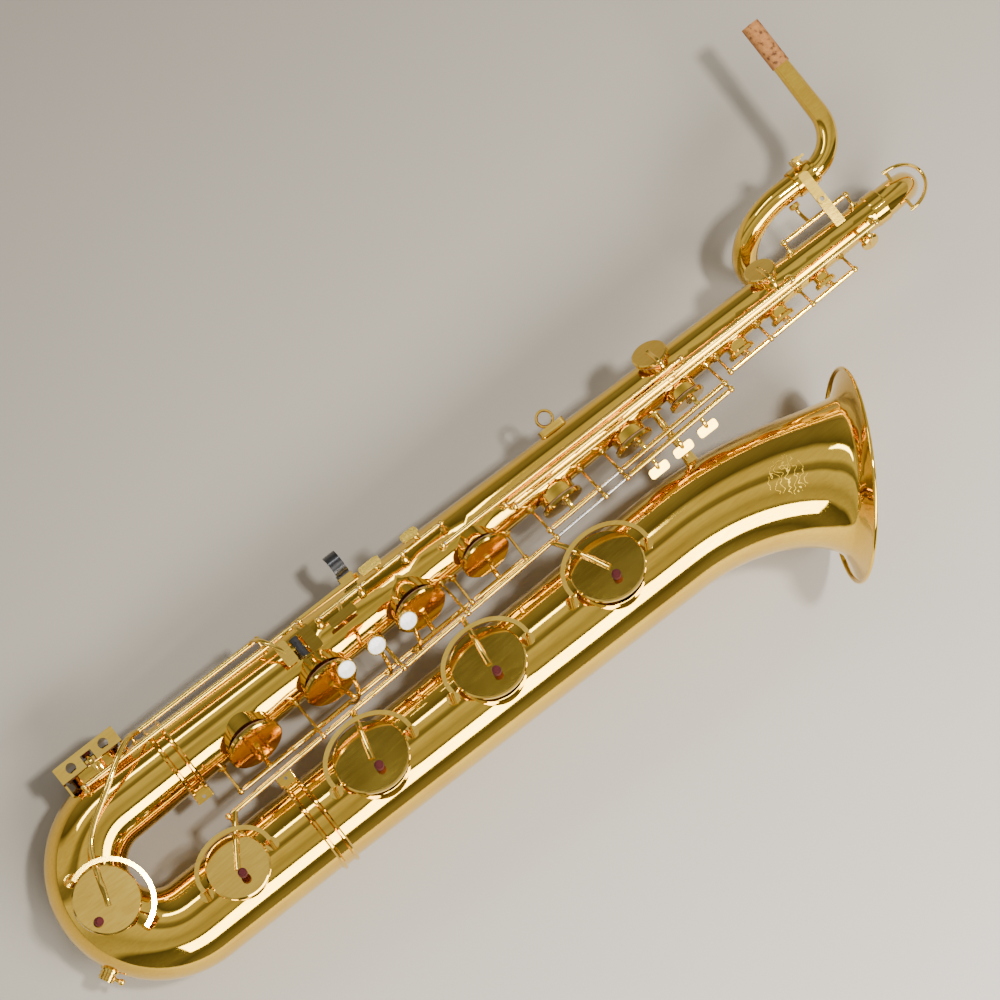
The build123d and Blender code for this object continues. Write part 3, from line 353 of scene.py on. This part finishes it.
def make_neck():
    neck = bored("neck_skin", neck_rings(), [])
    ring = lathe("ring", [(NECK_R0 - 1.2, 0.3), (NECK_R0 + 2.4, 0.3), (NECK_R0 + 2.4, 3.0), (NECK_R0 + 1.6, 3.8),
                          (NECK_R0 - 0.4, 3.8)], (REC_X + 17.5, PIG_Y, 0), X, Z)
    tenon = lathe("tenon", [(NECK_R0 - 0.2, 0.5), (NECK_R0 - 0.2, 18.0), (NECK_R0 - 1.2, 18.0), (NECK_R0 - 1.2, 0.5)],
                  (REC_X, PIG_Y, 0), X, Z)
    return finish_piece(join(neck, ring, tenon), "neck_assembly", "neck")


# ---- materials
def value_group(name, sockets, build):
    tree = bpy.data.node_groups.new(name, "ShaderNodeTree")
    for label, kind, way, default in sockets:
        s = tree.interface.new_socket(label, in_out=way, socket_type="NodeSocket" + kind)
        if default is not None:
            s.default_value = default
    gi, go = tree.nodes.new("NodeGroupInput"), tree.nodes.new("NodeGroupOutput")
    gi.location, go.location = (-700, 0), (500, 0)
    build(tree, gi, go)
    return tree


def noise(tree, vector, scale, detail=4.0, rough=0.5):
    n = tree.nodes.new("ShaderNodeTexNoise")
    n.inputs["Scale"].default_value = scale
    n.inputs["Detail"].default_value = detail
    n.inputs["Roughness"].default_value = rough
    tree.links.new(vector, n.inputs["Vector"])
    return n.outputs["Fac"]


def math_node(tree, op, a, b=None, c=None, clamp=False):
    m = tree.nodes.new("ShaderNodeMath")
    m.operation, m.use_clamp = op, clamp
    for i, v in enumerate((a, b, c)):
        if v is None:
            continue
        if isinstance(v, (int, float)):
            m.inputs[i].default_value = v
        else:
            tree.links.new(v, m.inputs[i])
    return m.outputs[0]


def build_handling(tree, gi, go):
    """Polish that is uneven: soft clouds from hands and finer rubbed marks along the instrument."""
    v = gi.outputs["Vector"]
    clouds = noise(tree, v, 14.0, 5.0, 0.6)
    stretched = tree.nodes.new("ShaderNodeMapping")
    stretched.inputs["Scale"].default_value = (30.0, 420.0, 420.0)
    tree.links.new(v, stretched.inputs["Vector"])
    rubbed = noise(tree, stretched.outputs[0], 1.0, 3.0, 0.55)
    mixed = math_node(tree, "MULTIPLY_ADD", rubbed, 0.45, math_node(tree, "MULTIPLY", clouds, 0.55))
    spread = math_node(tree, "MULTIPLY", math_node(tree, "SUBTRACT", mixed, 0.42), gi.outputs["Spread"])
    tree.links.new(math_node(tree, "ADD", gi.outputs["Base"], spread, clamp=True), go.inputs["Roughness"])
    tree.links.new(mixed, go.inputs["Mask"])
    ripple = noise(tree, v, 38.0, 2.0, 0.4)
    height = math_node(tree, "MULTIPLY_ADD", rubbed, 0.05, ripple)
    tree.links.new(height, go.inputs["Height"])


HANDLING = value_group("handling", [("Vector", "Vector", "INPUT", None), ("Base", "Float", "INPUT", 0.1),
                                    ("Spread", "Float", "INPUT", 0.1), ("Roughness", "Float", "OUTPUT", None),
                                    ("Mask", "Float", "OUTPUT", None), ("Height", "Float", "OUTPUT", None)],
                       build_handling)


def new_material(name):
    m = bpy.data.materials.new(name)
    m.use_nodes = True
    t = m.node_tree
    return m, t, t.nodes["Principled BSDF"], t.nodes.new("ShaderNodeTexCoord").outputs["Object"]


def ramp(tree, fac, stops):
    r = tree.nodes.new("ShaderNodeValToRGB")
    while len(r.color_ramp.elements) < len(stops):
        r.color_ramp.elements.new(0.5)
    for e, (p, c) in zip(r.color_ramp.elements, stops):
        e.position, e.color = p, (*c, 1.0)
    tree.links.new(fac, r.inputs["Fac"])
    return r.outputs["Color"]


def bump(tree, bsdf, height, strength, distance):
    b = tree.nodes.new("ShaderNodeBump")
    b.inputs["Strength"].default_value = strength
    b.inputs["Distance"].default_value = distance
    tree.links.new(height, b.inputs["Height"])
    tree.links.new(b.outputs[0], bsdf.inputs["Normal"])


def engraving(t, v, centre, radius):
    """Fine scrolled lines inside a round patch, as 0 to 1."""
    near = t.nodes.new("ShaderNodeVectorMath")
    near.operation = "DISTANCE"
    near.inputs[1].default_value = centre
    t.links.new(v, near.inputs[0])
    scroll = t.nodes.new("ShaderNodeTexWave")
    scroll.wave_type, scroll.rings_direction = "RINGS", "SPHERICAL"
    scroll.inputs["Scale"].default_value = 60.0
    scroll.inputs["Distortion"].default_value = 14.0
    scroll.inputs["Detail"].default_value = 1.0
    scroll.inputs["Detail Scale"].default_value = 2.2
    t.links.new(v, scroll.inputs["Vector"])
    lines = math_node(t, "GREATER_THAN", scroll.outputs["Fac"], 0.965)
    petals = math_node(t, "MULTIPLY_ADD", noise(t, v, 55.0, 1.0), radius * 0.9, radius * 0.5)
    return math_node(t, "MULTIPLY", lines, math_node(t, "LESS_THAN", near.outputs["Value"], petals))


def brass(name, dark, pale, rough, spread, coat=0.7, ripple=0.12, engraved=None):
    """Clear-lacquered brass: metal under a hard glossy coat, a little uneven in colour and polish."""
    m, t, bsdf, v = new_material(name)
    g = t.nodes.new("ShaderNodeGroup")
    g.node_tree = HANDLING
    g.inputs["Base"].default_value, g.inputs["Spread"].default_value = rough, spread
    t.links.new(v, g.inputs["Vector"])
    t.links.new(ramp(t, g.outputs["Mask"], [(0.3, dark), (0.62, pale)]), bsdf.inputs["Base Color"])
    height, roughness = g.outputs["Height"], g.outputs["Roughness"]
    if engraved:
        cuts = engraving(t, v, *engraved)
        roughness = math_node(t, "MULTIPLY_ADD", cuts, 0.4, roughness, clamp=True)
        height = math_node(t, "MULTIPLY_ADD", cuts, -2.0, height)
    t.links.new(roughness, bsdf.inputs["Roughness"])
    bsdf.inputs["Metallic"].default_value = 1.0
    bsdf.inputs["Coat Weight"].default_value = coat
    bsdf.inputs["Coat Roughness"].default_value = 0.03
    bsdf.inputs["Coat Tint"].default_value = (1.0, 0.90, 0.62, 1.0)
    bump(t, bsdf, height, ripple, 0.0006)
    return m


def plain(name, stops, scale, rough, spread=0.1, metallic=0.0, strength=0.3, distance=0.0003, coat=0.0, detail=5.0):
    """Non-brass surface: mottled colour, uneven roughness, fine relief."""
    m, t, bsdf, v = new_material(name)
    f = noise(t, v, scale, detail, 0.6)
    t.links.new(ramp(t, f, stops), bsdf.inputs["Base Color"])
    t.links.new(math_node(t, "MULTIPLY_ADD", f, spread, rough - spread / 2, clamp=True), bsdf.inputs["Roughness"])
    bsdf.inputs["Metallic"].default_value = metallic
    bsdf.inputs["Coat Weight"].default_value = coat
    bsdf.inputs["Coat Roughness"].default_value = 0.05
    bump(t, bsdf, f, strength, distance)
    return m


def make_pearl():
    """Nacre: milky growth bands with a faint pink and green play of colour."""
    m, t, bsdf, v = new_material("mother_of_pearl")
    w = t.nodes.new("ShaderNodeTexWave")
    w.inputs["Scale"].default_value = 70.0
    w.inputs["Distortion"].default_value = 9.0
    w.inputs["Detail"].default_value = 3.0
    t.links.new(v, w.inputs["Vector"])
    t.links.new(ramp(t, w.outputs["Fac"], [(0.0, (0.93, 0.88, 0.84)), (0.35, (0.86, 0.90, 0.87)),
                                           (0.7, (0.95, 0.90, 0.91)),
                                           (1.0, (0.98, 0.97, 0.95))]), bsdf.inputs["Base Color"])
    bsdf.inputs["Roughness"].default_value = 0.18
    bsdf.inputs["Coat Weight"].default_value = 0.8
    bsdf.inputs["Sheen Weight"].default_value = 0.2
    bump(t, bsdf, w.outputs["Fac"], 0.05, 0.0001)
    return m


def make_cork():
    """Natural cork: pale grain broken by dark lenticel flecks."""
    m, t, bsdf, v = new_material("natural_cork")
    cells = t.nodes.new("ShaderNodeTexVoronoi")
    cells.inputs["Scale"].default_value = 420.0
    t.links.new(v, cells.inputs["Vector"])
    grain = noise(t, v, 900.0, 6.0, 0.7)
    flecks = ramp(t, noise(t, v, 190.0, 4.0, 0.65), [(0.36, (0.10, 0.035, 0.008)), (0.46, (0.36, 0.145, 0.035)),
                                                     (0.75, (0.50, 0.23, 0.065))])
    mix = t.nodes.new("ShaderNodeMix")
    mix.data_type, mix.blend_type = "RGBA", "MULTIPLY"
    mix.inputs["Factor"].default_value = 0.35
    t.links.new(flecks, mix.inputs["A"])
    t.links.new(ramp(t, grain, [(0.3, (0.55, 0.45, 0.38)), (0.7, (1.0, 1.0, 1.0))]), mix.inputs["B"])
    t.links.new(mix.outputs["Result"], bsdf.inputs["Base Color"])
    bsdf.inputs["Roughness"].default_value = 0.85
    bump(t, bsdf, math_node(t, "ADD", grain, cells.outputs["Distance"]), 0.5, 0.0004)
    return m


BODY_BRASS = brass("body_brass", (0.78, 0.50, 0.035), (0.96, 0.69, 0.08), 0.05, 0.05, ripple=0.05)
BELL_BRASS = brass("bell_brass", (0.78, 0.50, 0.035), (0.96, 0.69, 0.08), 0.05, 0.05, ripple=0.05,
                   engraved=(at((205, -134, 55)), 0.019))
KEY_BRASS = brass("key_brass", (0.80, 0.53, 0.06), (0.97, 0.73, 0.14), 0.08, 0.08, ripple=0.05)
ROD_STEEL = plain("rod_steel", [(0.3, (0.42, 0.42, 0.44)), (0.7, (0.66, 0.66, 0.68))], 260.0, 0.2, 0.15, 1.0, 0.1)
LEATHER = plain("pad_leather", [(0.3, (0.16, 0.075, 0.03)), (0.7, (0.36, 0.19, 0.09))], 620.0, 0.55, 0.25,
                strength=0.5)
FELT = plain("bumper_felt", [(0.3, (0.03, 0.0012, 0.0016)), (0.7, (0.10, 0.005, 0.006))], 1500.0, 0.95, 0.1,
             strength=0.9, detail=8.0)
BLACK = plain("black_resin", [(0.3, (0.006, 0.006, 0.007)), (0.7, (0.02, 0.02, 0.021))], 300.0, 0.28, 0.15,
              strength=0.1, coat=0.4)
PEARL, CORK = make_pearl(), make_cork()


def material_of(node):
    if node == "hinge_rods" or node == "neck_screw":
        return ROD_STEEL if node == "hinge_rods" else KEY_BRASS
    if node.startswith("pad_"):
        return LEATHER
    if node.startswith("pearl_"):
        return PEARL
    if node in ("thumb_hook", "roller_low_eb"):
        return BLACK
    named = {"neck_cork": CORK, "guard_felts": FELT, "body_tube": BODY_BRASS, "joint_clamps": BODY_BRASS}
    return named.get(node, KEY_BRASS)


def paint(o, m):
    o.data.materials.clear()
    o.data.materials.append(m)


for piece in (make_bell(), make_bow(), make_top_bow(), make_pigtail(), make_neck()):
    paint(piece, BELL_BRASS if piece.name == "bell_skin" else BODY_BRASS)
for name, node in NODES.items():
    paint(node, material_of(name))


# ---- small hardware, metres
SPRING_R, SPRING_LENGTH, SPRING_DROP = 0.00045, 0.026, 0.0036


def make_spring(joint):
    """Blued needle spring beside a key's hinge, held by the post and bearing on the key."""
    axis, p = Vector(joint["axis"]).normalized(), Vector(joint["pos_m"])
    down = (Vector((0, 0, -1)) - axis * axis.dot(Vector((0, 0, -1)))).normalized()
    bpy.ops.object.select_all(action="DESELECT")
    turned = Matrix((down, axis.cross(down), axis)).transposed().to_euler()
    bpy.ops.mesh.primitive_cylinder_add(vertices=12, radius=SPRING_R, depth=SPRING_LENGTH,
                                        location=p + down * SPRING_DROP, rotation=turned)
    spring = bpy.context.object
    spring.name = spring.data.name = "spring_" + joint["name"]
    bpy.ops.object.mode_set(mode="EDIT")
    bpy.ops.mesh.bevel(offset=0.0003, segments=2)
    bpy.ops.mesh.select_all(action="DESELECT")
    bpy.ops.object.mode_set(mode="OBJECT")
    paint(finish_piece(spring, joint["parent"]), BLUED)


BLUED = plain("blued_steel", [(0.3, (0.02, 0.035, 0.09)), (0.7, (0.06, 0.10, 0.22))], 300.0, 0.22, 0.15, 1.0, 0.1)
for j in frame["joints"]:
    if j.get("stiffness"):
        make_spring(j)


# ---- floor, lights, camera
# floor colours from pale to dark: the darkening across the floor is painted light falloff, not the floor's own colour
FLOOR_FALLOFF_TONES = [(0.0, (0.52, 0.485, 0.44)), (0.5, (0.32, 0.29, 0.24)), (1.0, (0.19, 0.168, 0.138))]


def make_floor():
    bpy.ops.object.select_all(action="DESELECT")
    bpy.ops.mesh.primitive_plane_add(size=14, location=(0, 0, -0.0003))
    floor = bpy.context.object
    floor.name = "floor"
    m, t, bsdf, v = new_material("pale_floor")
    across = t.nodes.new("ShaderNodeMapping")
    across.vector_type = "POINT"
    across.inputs["Rotation"].default_value = (0, 0, math.radians(82))
    t.links.new(v, across.inputs["Vector"])
    sep = t.nodes.new("ShaderNodeSeparateXYZ")
    t.links.new(across.outputs[0], sep.inputs[0])
    clouds = math_node(t, "MULTIPLY", noise(t, v, 1.4, 2.0), 0.10)
    # painted falloff: the floor colour gets darker towards +Y, with faint random clouds on top
    painted_falloff = math_node(t, "ADD", math_node(t, "MULTIPLY_ADD", sep.outputs["X"], -0.8, 0.45), clouds)
    t.links.new(ramp(t, painted_falloff, FLOOR_FALLOFF_TONES), bsdf.inputs["Base Color"])
    bsdf.inputs["Roughness"].default_value = 0.6
    paint(floor, m)


def softbox(name, towards, distance, size, power, color=(1.0, 0.97, 0.92), along=X):
    """Area light in a direction of the instrument frame, its long side along the given axis."""
    light = bpy.data.lights.new(name, "AREA")
    light.shape, light.size, light.size_y = "RECTANGLE", size[0], size[1]
    light.energy, light.color = power, color
    o = bpy.data.objects.new(name, light)
    bpy.context.scene.collection.objects.link(o)
    o.location = at((0, -40, 30)) + turn(Vector(towards).normalized()) * distance
    o.rotation_mode = "XYZ"
    o.rotation_euler = facing(Vector(towards), along)


def grey(v):
    return (v, v * 0.95, v * 0.87)


# brightness of the room by direction, from the -Y wall over the ceiling to the +Y wall
ROOM_TONES = [(0.0, grey(0.25)), (0.05, grey(0.10)), (0.10, grey(0.18)), (0.25, grey(0.08)), (0.30, grey(0.50)),
              (0.42, grey(0.38)), (0.50, grey(0.55)), (0.62, grey(0.66)), (0.66, grey(0.16)), (0.72, grey(0.22)),
              (0.77, grey(0.62)), (0.87, grey(0.55)), (0.91, grey(0.09)), (1.0, grey(0.25))]


def make_world():
    """A room seen only in reflections: pale ceiling bands between dark ones, along the instrument."""
    w = bpy.data.worlds.new("room")
    bpy.context.scene.world = w
    w.use_nodes = True
    t = w.node_tree
    sep = t.nodes.new("ShaderNodeSeparateXYZ")
    t.links.new(t.nodes.new("ShaderNodeTexCoord").outputs["Generated"], sep.inputs[0])
    across = math_node(t, "MULTIPLY_ADD", sep.outputs["Y"], 0.5, 0.5)
    color = ramp(t, across, ROOM_TONES)
    back = t.nodes["Background"]
    t.links.new(color, back.inputs["Color"])
    back.inputs["Strength"].default_value = 1.15


def make_camera():
    cam = bpy.data.cameras.new("camera")
    o = bpy.data.objects.new("camera", cam)
    bpy.context.scene.collection.objects.link(o)
    target, distance, across = Vector((2.0, 2.5, 0)), 3000.0, 870.0
    back = Vector((-sd(8), 0, cd(8)))
    cam.lens = cam.sensor_width * distance / across
    cam.clip_start, cam.clip_end = 0.05, 60
    o.location = at(target + back * distance)
    right = turn(Vector((0.789, -0.614, 0)))
    z = turn(back).normalized()
    right = (right - z * right.dot(z)).normalized()
    o.rotation_euler = Matrix((right, z.cross(right), z)).transposed().to_euler()
    bpy.context.scene.camera = o


make_floor()
make_world()
softbox("key_light", (0.33, -0.09, 1.0), 5.0, (0.50, 0.50), 235)
softbox("strip_light", (0.10, -1.1, 1.0), 2.2, (2.6, 0.95), 105)
softbox("fill_light", (-0.2, 0.9, 0.9), 2.4, (1.6, 0.25), 16, (0.95, 0.97, 1.0))
make_camera()
